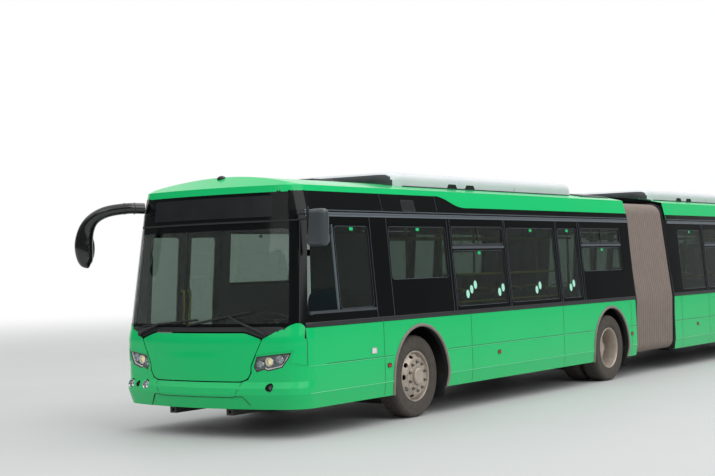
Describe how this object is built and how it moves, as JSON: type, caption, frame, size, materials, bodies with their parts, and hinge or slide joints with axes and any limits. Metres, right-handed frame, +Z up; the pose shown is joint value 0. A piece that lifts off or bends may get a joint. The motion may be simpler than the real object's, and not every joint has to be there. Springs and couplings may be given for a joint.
{
  "type": "articulated city bus",
  "caption": "Articulated low-floor city bus with steered front wheels, pleated bellows joint, inward-swinging doors and hinged service flaps.",
  "frame": {"origin": "on the ground, midway along and across the whole bus", "axes": "+Y towards the tail along the bus, +X to the bus's own left, +Z up"},
  "size_m": [3.2049, 18.0609, 2.905],
  "materials": {
    "green_body": "gloss",
    "roof_paint": "gloss",
    "clear_glass": "gloss",
    "tinted_glass": "gloss",
    "sign_glass": "gloss",
    "lamp": "gloss",
    "tail_lamp": "gloss",
    "floor": "matt",
    "chassis": "satin",
    "engine": "matt",
    "tyre": "matt",
    "wheel_steel": "satin",
    "door": "satin",
    "bellows": "matt",
    "aluminium": "satin",
    "seat": "satin",
    "handrail": "gloss",
    "cab": "matt",
    "pod": "satin",
    "black_plastic": "satin"
  },
  "bodies": {
    "front_section": {"front_floor": "floor", "front_wheel_housings": "floor", "front_chassis": "chassis", "front_left_wall": "green_body", "front_right_wall": "green_body", "front_roof": "roof_paint", "front_mask": "green_body", "front_bumper": "green_body", "windscreen": "clear_glass", "sign_glass": "sign_glass", "front_side_glass": "tinted_glass", "headlamps": "lamp", "wipers": "black_plastic", "mirrors": "black_plastic", "driver_cab": "cab", "front_seats": "seat", "front_handrails": "handrail", "front_roof_pod": "pod", "front_axle": "chassis", "middle_axle": "chassis", "lower_joint_ring": "chassis", "bellows": "bellows"},
    "rear_section": {"rear_floor": "floor", "rear_wheel_housings": "floor", "rear_chassis": "chassis", "rear_left_wall": "green_body", "rear_right_wall": "green_body", "rear_roof": "roof_paint", "end_wall": "green_body", "rear_glass": "tinted_glass", "tail_lamps": "tail_lamp", "rear_seats": "seat", "rear_handrails": "handrail", "rear_roof_pod": "pod", "rear_axle": "chassis", "upper_joint_ring": "chassis", "engine": "engine"},
    "middle_hoop": {"middle_hoop": "aluminium"},
    "service_flap": {"service_flap": "green_body"},
    "engine_hatch": {"engine_hatch": "green_body"},
    "left_knuckle": {"left_knuckle": "chassis"},
    "right_knuckle": {"right_knuckle": "chassis"},
    "front_left_wheel": {"front_left_tyre": "tyre", "front_left_rim": "wheel_steel"},
    "middle_left_wheels": {"middle_left_tyres": "tyre", "middle_left_rims": "wheel_steel"},
    "rear_left_wheels": {"rear_left_tyres": "tyre", "rear_left_rims": "wheel_steel"},
    "front_right_wheel": {"front_right_tyre": "tyre", "front_right_rim": "wheel_steel"},
    "middle_right_wheels": {"middle_right_tyres": "tyre", "middle_right_rims": "wheel_steel"},
    "rear_right_wheels": {"rear_right_tyres": "tyre", "rear_right_rims": "wheel_steel"},
    "front_door_fore_leaf": {"front_door_fore_leaf": "door"},
    "front_door_aft_leaf": {"front_door_aft_leaf": "door"},
    "middle_door_fore_leaf": {"middle_door_fore_leaf": "door"},
    "middle_door_aft_leaf": {"middle_door_aft_leaf": "door"},
    "rear_door_fore_leaf": {"rear_door_fore_leaf": "door"},
    "rear_door_aft_leaf": {"rear_door_aft_leaf": "door"}
  },
  "joints": [
    {"name": "articulation", "type": "hinge", "parent": "front_section", "child": "rear_section", "pos_m": [0, 0.495, 0.26], "axis": [0, 0, 1], "range_deg": [-50, 50], "deforming": ["bellows"]},
    {"name": "hoop_turn", "type": "hinge", "parent": "front_section", "child": "middle_hoop", "pos_m": [0, 0.495, 0.34], "axis": [0, 0, 1], "range_deg": [-25, 25]},
    {"name": "left_steering", "type": "hinge", "parent": "front_section", "child": "left_knuckle", "pos_m": [0.915, -6.37, 0.4785], "axis": [0, 0, 1], "range_deg": [-42, 42]},
    {"name": "right_steering", "type": "hinge", "parent": "front_section", "child": "right_knuckle", "pos_m": [-0.915, -6.37, 0.4785], "axis": [0, 0, 1], "range_deg": [-42, 42]},
    {"name": "front_left_roll", "type": "hinge", "parent": "left_knuckle", "child": "front_left_wheel", "pos_m": [1.055, -6.37, 0.4785], "axis": [1, 0, 0], "continuous": true},
    {"name": "middle_left_roll", "type": "hinge", "parent": "front_section", "child": "middle_left_wheels", "pos_m": [0.935, -1.15, 0.4785], "axis": [1, 0, 0], "continuous": true},
    {"name": "rear_left_roll", "type": "hinge", "parent": "rear_section", "child": "rear_left_wheels", "pos_m": [0.935, 5.6, 0.4785], "axis": [1, 0, 0], "continuous": true},
    {"name": "front_right_roll", "type": "hinge", "parent": "right_knuckle", "child": "front_right_wheel", "pos_m": [-1.055, -6.37, 0.4785], "axis": [1, 0, 0], "continuous": true},
    {"name": "middle_right_roll", "type": "hinge", "parent": "front_section", "child": "middle_right_wheels", "pos_m": [-0.935, -1.15, 0.4785], "axis": [1, 0, 0], "continuous": true},
    {"name": "rear_right_roll", "type": "hinge", "parent": "rear_section", "child": "rear_right_wheels", "pos_m": [-0.935, 5.6, 0.4785], "axis": [1, 0, 0], "continuous": true},
    {"name": "front_door_fore", "type": "hinge", "parent": "front_section", "child": "front_door_fore_leaf", "pos_m": [-1.128, -8.332, 1.3], "axis": [0, 0, -1], "range_deg": [0, 90]},
    {"name": "front_door_aft", "type": "hinge", "parent": "front_section", "child": "front_door_aft_leaf", "pos_m": [-1.128, -7.068, 1.3], "axis": [0, 0, 1], "range_deg": [0, 90]},
    {"name": "middle_door_fore", "type": "hinge", "parent": "front_section", "child": "middle_door_fore_leaf", "pos_m": [-1.128, -4.082, 1.3], "axis": [0, 0, -1], "range_deg": [0, 90]},
    {"name": "middle_door_aft", "type": "hinge", "parent": "front_section", "child": "middle_door_aft_leaf", "pos_m": [-1.128, -2.758, 1.3], "axis": [0, 0, 1], "range_deg": [0, 90]},
    {"name": "rear_door_fore", "type": "hinge", "parent": "rear_section", "child": "rear_door_fore_leaf", "pos_m": [-1.128, 2.838, 1.3], "axis": [0, 0, -1], "range_deg": [0, 90]},
    {"name": "rear_door_aft", "type": "hinge", "parent": "rear_section", "child": "rear_door_aft_leaf", "pos_m": [-1.128, 4.162, 1.3], "axis": [0, 0, 1], "range_deg": [0, 90]},
    {"name": "flap_lift", "type": "hinge", "parent": "front_section", "child": "service_flap", "pos_m": [0, -8.88394, 1.11], "axis": [-1, 0, 0], "range_deg": [0, 75]},
    {"name": "hatch_lift", "type": "hinge", "parent": "rear_section", "child": "engine_hatch", "pos_m": [0, 8.992, 1.33], "axis": [1, 0, 0], "range_deg": [0, 80]}
  ],
  "couplings": [
    {"joint": "hoop_turn", "follows": "articulation", "ratio": 0.5},
    {"joint": "right_steering", "follows": "left_steering", "ratio": 1},
    {"joint": "front_door_aft", "follows": "front_door_fore", "ratio": 1},
    {"joint": "middle_door_aft", "follows": "middle_door_fore", "ratio": 1},
    {"joint": "rear_door_aft", "follows": "rear_door_fore", "ratio": 1}
  ]
}
